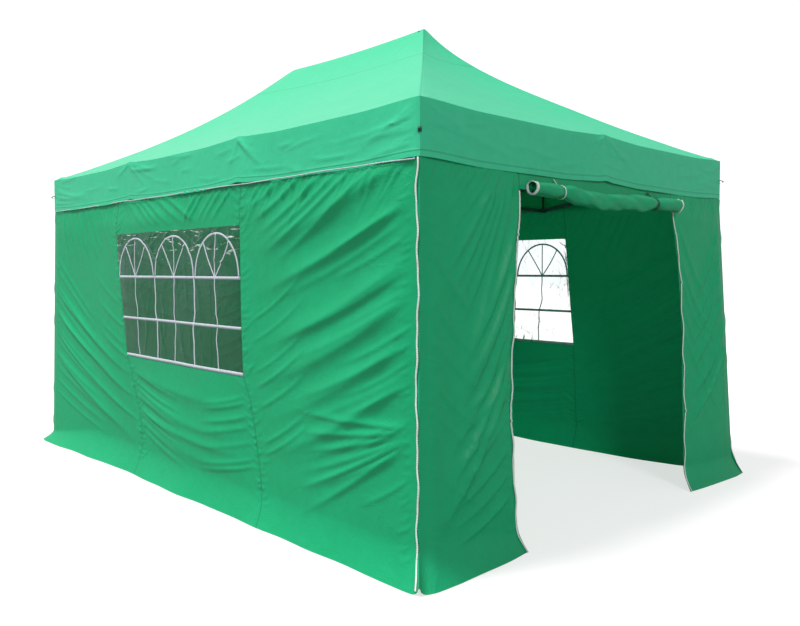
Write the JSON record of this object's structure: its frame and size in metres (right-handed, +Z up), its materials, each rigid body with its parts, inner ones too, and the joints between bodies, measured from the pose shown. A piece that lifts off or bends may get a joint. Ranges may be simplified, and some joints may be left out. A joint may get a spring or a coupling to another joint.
{
  "type": "pop up gazebo",
  "caption": "Folding pop-up gazebo: square telescopic legs, scissor truss, king posts, sloped fabric roof with valance, window walls and a door wall with its door rolled up.",
  "frame": {"origin": "on the ground, under the middle of the roof, legs fully extended and truss open", "axes": "+X along the long side towards the door wall, +Y along the short side towards the back wall, +Z up"},
  "size_m": [4.7024, 3.218, 3.215],
  "materials": {
    "coated_steel": "dark grey powder coat, low sheen",
    "black_nylon": "moulded black nylon, fine texture",
    "grey_button": "moulded grey nylon button",
    "zinc_steel": "zinc plated steel, slightly dull",
    "roof_cloth": "coated woven polyester, green, soft sheen",
    "window_wall_cloth": "coated woven polyester, green, with a clear flexible window",
    "wall_cloth": "coated woven polyester, green, soft sheen"
  },
  "bodies": {
    "leg_front_right": {"leg_front_right": "coated_steel", "canopy": "roof_cloth", "wall_front": "window_wall_cloth", "wall_door": "wall_cloth", "door_rolled": "wall_cloth"},
    "leg_back_right": {"leg_back_right": "coated_steel", "wall_back": "window_wall_cloth"},
    "leg_front_left": {"leg_front_left": "coated_steel", "wall_left": "wall_cloth"},
    "leg_back_left": {"leg_back_left": "coated_steel"},
    "bar_front_1_falling": {"bar_front_1_falling": "coated_steel"},
    "bar_front_1_rising": {"bar_front_1_rising": "coated_steel"},
    "connector_front_1_upper": {"connector_front_1_upper": "black_nylon"},
    "slider_front_right": {"slider_front_right": "black_nylon"},
    "connector_front_1_lower": {"connector_front_1_lower": "black_nylon"},
    "bar_front_2_falling": {"bar_front_2_falling": "coated_steel"},
    "bar_front_2_rising": {"bar_front_2_rising": "coated_steel"},
    "connector_front_2_upper": {"connector_front_2_upper": "black_nylon"},
    "connector_front_2_lower": {"connector_front_2_lower": "black_nylon"},
    "bar_front_3_falling": {"bar_front_3_falling": "coated_steel"},
    "bar_front_3_rising": {"bar_front_3_rising": "coated_steel"},
    "slider_front_left": {"slider_front_left": "black_nylon"},
    "bar_right_1_falling": {"bar_right_1_falling": "coated_steel"},
    "bar_right_1_rising": {"bar_right_1_rising": "coated_steel"},
    "connector_right_upper": {"connector_right_upper": "black_nylon"},
    "connector_right_lower": {"connector_right_lower": "black_nylon"},
    "bar_right_2_falling": {"bar_right_2_falling": "coated_steel"},
    "bar_right_2_rising": {"bar_right_2_rising": "coated_steel"},
    "bar_left_1_falling": {"bar_left_1_falling": "coated_steel"},
    "bar_left_1_rising": {"bar_left_1_rising": "coated_steel"},
    "connector_left_upper": {"connector_left_upper": "black_nylon"},
    "connector_left_lower": {"connector_left_lower": "black_nylon"},
    "bar_left_2_falling": {"bar_left_2_falling": "coated_steel"},
    "bar_left_2_rising": {"bar_left_2_rising": "coated_steel"},
    "king_bar_front_1": {"king_bar_front_1": "coated_steel"},
    "king_post_1": {"king_post_1": "coated_steel"},
    "king_bar_back_1": {"king_bar_back_1": "coated_steel"},
    "connector_back_1_upper": {"connector_back_1_upper": "black_nylon"},
    "king_bar_front_2": {"king_bar_front_2": "coated_steel"},
    "king_post_2": {"king_post_2": "coated_steel"},
    "king_bar_back_2": {"king_bar_back_2": "coated_steel"},
    "connector_back_2_upper": {"connector_back_2_upper": "black_nylon"},
    "bar_back_1_falling": {"bar_back_1_falling": "coated_steel"},
    "bar_back_1_rising": {"bar_back_1_rising": "coated_steel"},
    "slider_back_right": {"slider_back_right": "black_nylon"},
    "connector_back_1_lower": {"connector_back_1_lower": "black_nylon"},
    "bar_back_2_falling": {"bar_back_2_falling": "coated_steel"},
    "bar_back_2_rising": {"bar_back_2_rising": "coated_steel"},
    "connector_back_2_lower": {"connector_back_2_lower": "black_nylon"},
    "bar_back_3_falling": {"bar_back_3_falling": "coated_steel"},
    "bar_back_3_rising": {"bar_back_3_rising": "coated_steel"},
    "slider_back_left": {"slider_back_left": "black_nylon"},
    "foot_front_right": {"foot_front_right": "zinc_steel"},
    "latch_front_right": {"latch_front_right": "grey_button"},
    "foot_back_right": {"foot_back_right": "zinc_steel"},
    "latch_back_right": {"latch_back_right": "grey_button"},
    "foot_front_left": {"foot_front_left": "zinc_steel"},
    "latch_front_left": {"latch_front_left": "grey_button"},
    "foot_back_left": {"foot_back_left": "zinc_steel"},
    "latch_back_left": {"latch_back_left": "grey_button"}
  },
  "joints": [
    {"name": "fold", "type": "hinge", "parent": "leg_front_right", "child": "bar_front_1_falling", "pos_m": [2.1775, -1.5, 2.222], "axis": [0, -1, 0], "range_deg": [0, 77.7], "deforming": ["canopy", "wall_front", "wall_back", "wall_left", "wall_door", "door_rolled"]},
    {"name": "bar_front_1_rising_cross", "type": "hinge", "parent": "bar_front_1_falling", "child": "bar_front_1_rising", "pos_m": [1.475, -1.49, 2.112], "axis": [0, -1, 0], "range_deg": [-155.45, 0]},
    {"name": "connector_front_1_upper_pivot", "type": "hinge", "parent": "bar_front_1_rising", "child": "connector_front_1_upper", "pos_m": [0.7725, -1.48, 2.222], "axis": [0, -1, 0], "range_deg": [0, 77.75]},
    {"name": "slider_front_right_pivot", "type": "hinge", "parent": "bar_front_1_rising", "child": "slider_front_right", "pos_m": [2.1775, -1.48, 2.002], "axis": [0, -1, 0], "range_deg": [0, 77.75]},
    {"name": "connector_front_1_lower_pivot", "type": "hinge", "parent": "bar_front_1_falling", "child": "connector_front_1_lower", "pos_m": [0.7725, -1.5, 2.002], "axis": [0, -1, 0], "range_deg": [-77.75, 0]},
    {"name": "bar_front_2_falling_pivot", "type": "hinge", "parent": "connector_front_1_upper", "child": "bar_front_2_falling", "pos_m": [0.7025, -1.5, 2.222], "axis": [0, -1, 0], "range_deg": [0, 77.75]},
    {"name": "bar_front_2_rising_cross", "type": "hinge", "parent": "bar_front_2_falling", "child": "bar_front_2_rising", "pos_m": [0, -1.49, 2.112], "axis": [0, -1, 0], "range_deg": [-155.45, 0]},
    {"name": "connector_front_2_upper_pivot", "type": "hinge", "parent": "bar_front_2_rising", "child": "connector_front_2_upper", "pos_m": [-0.7025, -1.48, 2.222], "axis": [0, -1, 0], "range_deg": [0, 77.75]},
    {"name": "connector_front_2_lower_pivot", "type": "hinge", "parent": "bar_front_2_falling", "child": "connector_front_2_lower", "pos_m": [-0.7025, -1.5, 2.002], "axis": [0, -1, 0], "range_deg": [-77.75, 0]},
    {"name": "bar_front_3_falling_pivot", "type": "hinge", "parent": "connector_front_2_upper", "child": "bar_front_3_falling", "pos_m": [-0.7725, -1.5, 2.222], "axis": [0, -1, 0], "range_deg": [0, 77.75]},
    {"name": "bar_front_3_rising_cross", "type": "hinge", "parent": "bar_front_3_falling", "child": "bar_front_3_rising", "pos_m": [-1.475, -1.49, 2.112], "axis": [0, -1, 0], "range_deg": [-155.45, 0]},
    {"name": "leg_front_left_pivot", "type": "hinge", "parent": "bar_front_3_rising", "child": "leg_front_left", "pos_m": [-2.1775, -1.48, 2.222], "axis": [0, -1, 0], "range_deg": [0, 77.75]},
    {"name": "slider_front_left_pivot", "type": "hinge", "parent": "bar_front_3_falling", "child": "slider_front_left", "pos_m": [-2.1775, -1.5, 2.002], "axis": [0, -1, 0], "range_deg": [-77.75, 0]},
    {"name": "bar_right_1_falling_pivot", "type": "hinge", "parent": "leg_front_right", "child": "bar_right_1_falling", "pos_m": [2.2175, -1.44, 2.222], "axis": [-1, 0, 0], "range_deg": [0, 77.75]},
    {"name": "bar_right_1_rising_cross", "type": "hinge", "parent": "bar_right_1_falling", "child": "bar_right_1_rising", "pos_m": [2.2275, -0.7375, 2.112], "axis": [-1, 0, 0], "range_deg": [-155.45, 0]},
    {"name": "connector_right_upper_pivot", "type": "hinge", "parent": "bar_right_1_rising", "child": "connector_right_upper", "pos_m": [2.2375, -0.035, 2.222], "axis": [-1, 0, 0], "range_deg": [0, 77.75]},
    {"name": "connector_right_lower_pivot", "type": "hinge", "parent": "bar_right_1_falling", "child": "connector_right_lower", "pos_m": [2.2175, -0.035, 2.002], "axis": [-1, 0, 0], "range_deg": [-77.75, 0]},
    {"name": "bar_right_2_rising_pivot", "type": "hinge", "parent": "leg_back_right", "child": "bar_right_2_rising", "pos_m": [2.2375, 1.44, 2.222], "axis": [-1, 0, 0], "range_deg": [-77.75, 0]},
    {"name": "bar_right_2_falling_cross", "type": "hinge", "parent": "bar_right_2_rising", "child": "bar_right_2_falling", "pos_m": [2.2275, 0.7375, 2.112], "axis": [-1, 0, 0], "range_deg": [0, 155.45]},
    {"name": "bar_left_1_falling_pivot", "type": "hinge", "parent": "leg_front_left", "child": "bar_left_1_falling", "pos_m": [-2.2375, -1.44, 2.222], "axis": [-1, 0, 0], "range_deg": [0, 77.75]},
    {"name": "bar_left_1_rising_cross", "type": "hinge", "parent": "bar_left_1_falling", "child": "bar_left_1_rising", "pos_m": [-2.2275, -0.7375, 2.112], "axis": [-1, 0, 0], "range_deg": [-155.45, 0]},
    {"name": "connector_left_upper_pivot", "type": "hinge", "parent": "bar_left_1_rising", "child": "connector_left_upper", "pos_m": [-2.2175, -0.035, 2.222], "axis": [-1, 0, 0], "range_deg": [0, 77.75]},
    {"name": "connector_left_lower_pivot", "type": "hinge", "parent": "bar_left_1_falling", "child": "connector_left_lower", "pos_m": [-2.2375, -0.035, 2.002], "axis": [-1, 0, 0], "range_deg": [-77.75, 0]},
    {"name": "bar_left_2_rising_pivot", "type": "hinge", "parent": "leg_back_left", "child": "bar_left_2_rising", "pos_m": [-2.2175, 1.44, 2.222], "axis": [-1, 0, 0], "range_deg": [-77.75, 0]},
    {"name": "bar_left_2_falling_cross", "type": "hinge", "parent": "bar_left_2_rising", "child": "bar_left_2_falling", "pos_m": [-2.2275, 0.7375, 2.112], "axis": [-1, 0, 0], "range_deg": [0, 155.45]},
    {"name": "king_bar_front_1_pivot", "type": "hinge", "parent": "connector_front_1_upper", "child": "king_bar_front_1", "pos_m": [0.7375, -1.4475, 2.222], "axis": [-1, 0, 0], "range_deg": [0, 77.75]},
    {"name": "king_post_1_pivot", "type": "hinge", "parent": "king_bar_front_1", "child": "king_post_1", "pos_m": [0.7375, -0.0425, 2.002], "axis": [-1, 0, 0], "range_deg": [-77.75, 0]},
    {"name": "king_bar_back_1_pivot", "type": "hinge", "parent": "king_post_1", "child": "king_bar_back_1", "pos_m": [0.7375, 0.0425, 2.002], "axis": [-1, 0, 0], "range_deg": [-77.75, 0]},
    {"name": "connector_back_1_upper_pivot", "type": "hinge", "parent": "king_bar_back_1", "child": "connector_back_1_upper", "pos_m": [0.7375, 1.4475, 2.222], "axis": [-1, 0, 0], "range_deg": [0, 77.75]},
    {"name": "king_bar_front_2_pivot", "type": "hinge", "parent": "connector_front_2_upper", "child": "king_bar_front_2", "pos_m": [-0.7375, -1.4475, 2.222], "axis": [-1, 0, 0], "range_deg": [0, 77.75]},
    {"name": "king_post_2_pivot", "type": "hinge", "parent": "king_bar_front_2", "child": "king_post_2", "pos_m": [-0.7375, -0.0425, 2.002], "axis": [-1, 0, 0], "range_deg": [-77.75, 0]},
    {"name": "king_bar_back_2_pivot", "type": "hinge", "parent": "king_post_2", "child": "king_bar_back_2", "pos_m": [-0.7375, 0.0425, 2.002], "axis": [-1, 0, 0], "range_deg": [-77.75, 0]},
    {"name": "connector_back_2_upper_pivot", "type": "hinge", "parent": "king_bar_back_2", "child": "connector_back_2_upper", "pos_m": [-0.7375, 1.4475, 2.222], "axis": [-1, 0, 0], "range_deg": [0, 77.75]},
    {"name": "bar_back_1_rising_pivot", "type": "hinge", "parent": "connector_back_1_upper", "child": "bar_back_1_rising", "pos_m": [0.7725, 1.5, 2.222], "axis": [0, -1, 0], "range_deg": [-77.75, 0]},
    {"name": "bar_back_1_falling_cross", "type": "hinge", "parent": "bar_back_1_rising", "child": "bar_back_1_falling", "pos_m": [1.475, 1.49, 2.112], "axis": [0, -1, 0], "range_deg": [0, 155.45]},
    {"name": "leg_back_right_pivot", "type": "hinge", "parent": "bar_back_1_falling", "child": "leg_back_right", "pos_m": [2.1775, 1.48, 2.222], "axis": [0, -1, 0], "range_deg": [-77.75, 0]},
    {"name": "slider_back_right_pivot", "type": "hinge", "parent": "bar_back_1_rising", "child": "slider_back_right", "pos_m": [2.1775, 1.5, 2.002], "axis": [0, -1, 0], "range_deg": [0, 77.75]},
    {"name": "connector_back_1_lower_pivot", "type": "hinge", "parent": "bar_back_1_falling", "child": "connector_back_1_lower", "pos_m": [0.7725, 1.48, 2.002], "axis": [0, -1, 0], "range_deg": [-77.75, 0]},
    {"name": "bar_back_2_falling_pivot", "type": "hinge", "parent": "connector_back_1_upper", "child": "bar_back_2_falling", "pos_m": [0.7025, 1.48, 2.222], "axis": [0, -1, 0], "range_deg": [0, 77.75]},
    {"name": "bar_back_2_rising_cross", "type": "hinge", "parent": "bar_back_2_falling", "child": "bar_back_2_rising", "pos_m": [0, 1.49, 2.112], "axis": [0, -1, 0], "range_deg": [-155.45, 0]},
    {"name": "connector_back_2_lower_pivot", "type": "hinge", "parent": "bar_back_2_falling", "child": "connector_back_2_lower", "pos_m": [-0.7025, 1.48, 2.002], "axis": [0, -1, 0], "range_deg": [-77.75, 0]},
    {"name": "bar_back_3_falling_pivot", "type": "hinge", "parent": "connector_back_2_upper", "child": "bar_back_3_falling", "pos_m": [-0.7725, 1.48, 2.222], "axis": [0, -1, 0], "range_deg": [0, 77.75]},
    {"name": "bar_back_3_rising_cross", "type": "hinge", "parent": "bar_back_3_falling", "child": "bar_back_3_rising", "pos_m": [-1.475, 1.49, 2.112], "axis": [0, -1, 0], "range_deg": [-155.45, 0]},
    {"name": "leg_back_left_pivot", "type": "hinge", "parent": "bar_back_3_rising", "child": "leg_back_left", "pos_m": [-2.1775, 1.5, 2.222], "axis": [0, -1, 0], "range_deg": [0, 77.75]},
    {"name": "slider_back_left_pivot", "type": "hinge", "parent": "bar_back_3_falling", "child": "slider_back_left", "pos_m": [-2.1775, 1.48, 2.002], "axis": [0, -1, 0], "range_deg": [-77.75, 0]},
    {"name": "leg_height_front_right", "type": "slide", "parent": "leg_front_right", "child": "foot_front_right", "axis": [0, 0, 1], "range_m": [0, 0.6]},
    {"name": "latch_press_front_right", "type": "slide", "parent": "slider_front_right", "child": "latch_front_right", "axis": [1, 0, 0], "range_m": [0, 0.005], "stiffness_N_per_m": 900, "springref_m": -0.004},
    {"name": "leg_height_back_right", "type": "slide", "parent": "leg_back_right", "child": "foot_back_right", "axis": [0, 0, 1], "range_m": [0, 0.6]},
    {"name": "latch_press_back_right", "type": "slide", "parent": "slider_back_right", "child": "latch_back_right", "axis": [1, 0, 0], "range_m": [0, 0.005], "stiffness_N_per_m": 900, "springref_m": -0.004},
    {"name": "leg_height_front_left", "type": "slide", "parent": "leg_front_left", "child": "foot_front_left", "axis": [0, 0, 1], "range_m": [0, 0.6]},
    {"name": "latch_press_front_left", "type": "slide", "parent": "slider_front_left", "child": "latch_front_left", "axis": [-1, 0, 0], "range_m": [0, 0.005], "stiffness_N_per_m": 900, "springref_m": -0.004},
    {"name": "leg_height_back_left", "type": "slide", "parent": "leg_back_left", "child": "foot_back_left", "axis": [0, 0, 1], "range_m": [0, 0.6]},
    {"name": "latch_press_back_left", "type": "slide", "parent": "slider_back_left", "child": "latch_back_left", "axis": [-1, 0, 0], "range_m": [0, 0.005], "stiffness_N_per_m": 900, "springref_m": -0.004}
  ],
  "couplings": [
    {"joint": "bar_front_1_rising_cross", "follows": "fold", "ratio": -2},
    {"joint": "connector_front_1_upper_pivot", "follows": "fold", "ratio": 1},
    {"joint": "slider_front_right_pivot", "follows": "fold", "ratio": 1},
    {"joint": "connector_front_1_lower_pivot", "follows": "fold", "ratio": -1},
    {"joint": "bar_front_2_falling_pivot", "follows": "fold", "ratio": 1},
    {"joint": "bar_front_2_rising_cross", "follows": "fold", "ratio": -2},
    {"joint": "connector_front_2_upper_pivot", "follows": "fold", "ratio": 1},
    {"joint": "connector_front_2_lower_pivot", "follows": "fold", "ratio": -1},
    {"joint": "bar_front_3_falling_pivot", "follows": "fold", "ratio": 1},
    {"joint": "bar_front_3_rising_cross", "follows": "fold", "ratio": -2},
    {"joint": "leg_front_left_pivot", "follows": "fold", "ratio": 1},
    {"joint": "slider_front_left_pivot", "follows": "fold", "ratio": -1},
    {"joint": "bar_right_1_falling_pivot", "follows": "fold", "ratio": 1},
    {"joint": "bar_right_1_rising_cross", "follows": "fold", "ratio": -2},
    {"joint": "connector_right_upper_pivot", "follows": "fold", "ratio": 1},
    {"joint": "connector_right_lower_pivot", "follows": "fold", "ratio": -1},
    {"joint": "bar_right_2_rising_pivot", "follows": "fold", "ratio": -1},
    {"joint": "bar_right_2_falling_cross", "follows": "fold", "ratio": 2},
    {"joint": "bar_left_1_falling_pivot", "follows": "fold", "ratio": 1},
    {"joint": "bar_left_1_rising_cross", "follows": "fold", "ratio": -2},
    {"joint": "connector_left_upper_pivot", "follows": "fold", "ratio": 1},
    {"joint": "connector_left_lower_pivot", "follows": "fold", "ratio": -1},
    {"joint": "bar_left_2_rising_pivot", "follows": "fold", "ratio": -1},
    {"joint": "bar_left_2_falling_cross", "follows": "fold", "ratio": 2},
    {"joint": "king_bar_front_1_pivot", "follows": "fold", "ratio": 1},
    {"joint": "king_post_1_pivot", "follows": "fold", "ratio": -1},
    {"joint": "king_bar_back_1_pivot", "follows": "fold", "ratio": -1},
    {"joint": "connector_back_1_upper_pivot", "follows": "fold", "ratio": 1},
    {"joint": "king_bar_front_2_pivot", "follows": "fold", "ratio": 1},
    {"joint": "king_post_2_pivot", "follows": "fold", "ratio": -1},
    {"joint": "king_bar_back_2_pivot", "follows": "fold", "ratio": -1},
    {"joint": "connector_back_2_upper_pivot", "follows": "fold", "ratio": 1},
    {"joint": "bar_back_1_rising_pivot", "follows": "fold", "ratio": -1},
    {"joint": "bar_back_1_falling_cross", "follows": "fold", "ratio": 2},
    {"joint": "leg_back_right_pivot", "follows": "fold", "ratio": -1},
    {"joint": "slider_back_right_pivot", "follows": "fold", "ratio": 1},
    {"joint": "connector_back_1_lower_pivot", "follows": "fold", "ratio": -1},
    {"joint": "bar_back_2_falling_pivot", "follows": "fold", "ratio": 1},
    {"joint": "bar_back_2_rising_cross", "follows": "fold", "ratio": -2},
    {"joint": "connector_back_2_lower_pivot", "follows": "fold", "ratio": -1},
    {"joint": "bar_back_3_falling_pivot", "follows": "fold", "ratio": 1},
    {"joint": "bar_back_3_rising_cross", "follows": "fold", "ratio": -2},
    {"joint": "leg_back_left_pivot", "follows": "fold", "ratio": 1},
    {"joint": "slider_back_left_pivot", "follows": "fold", "ratio": -1}
  ]
}
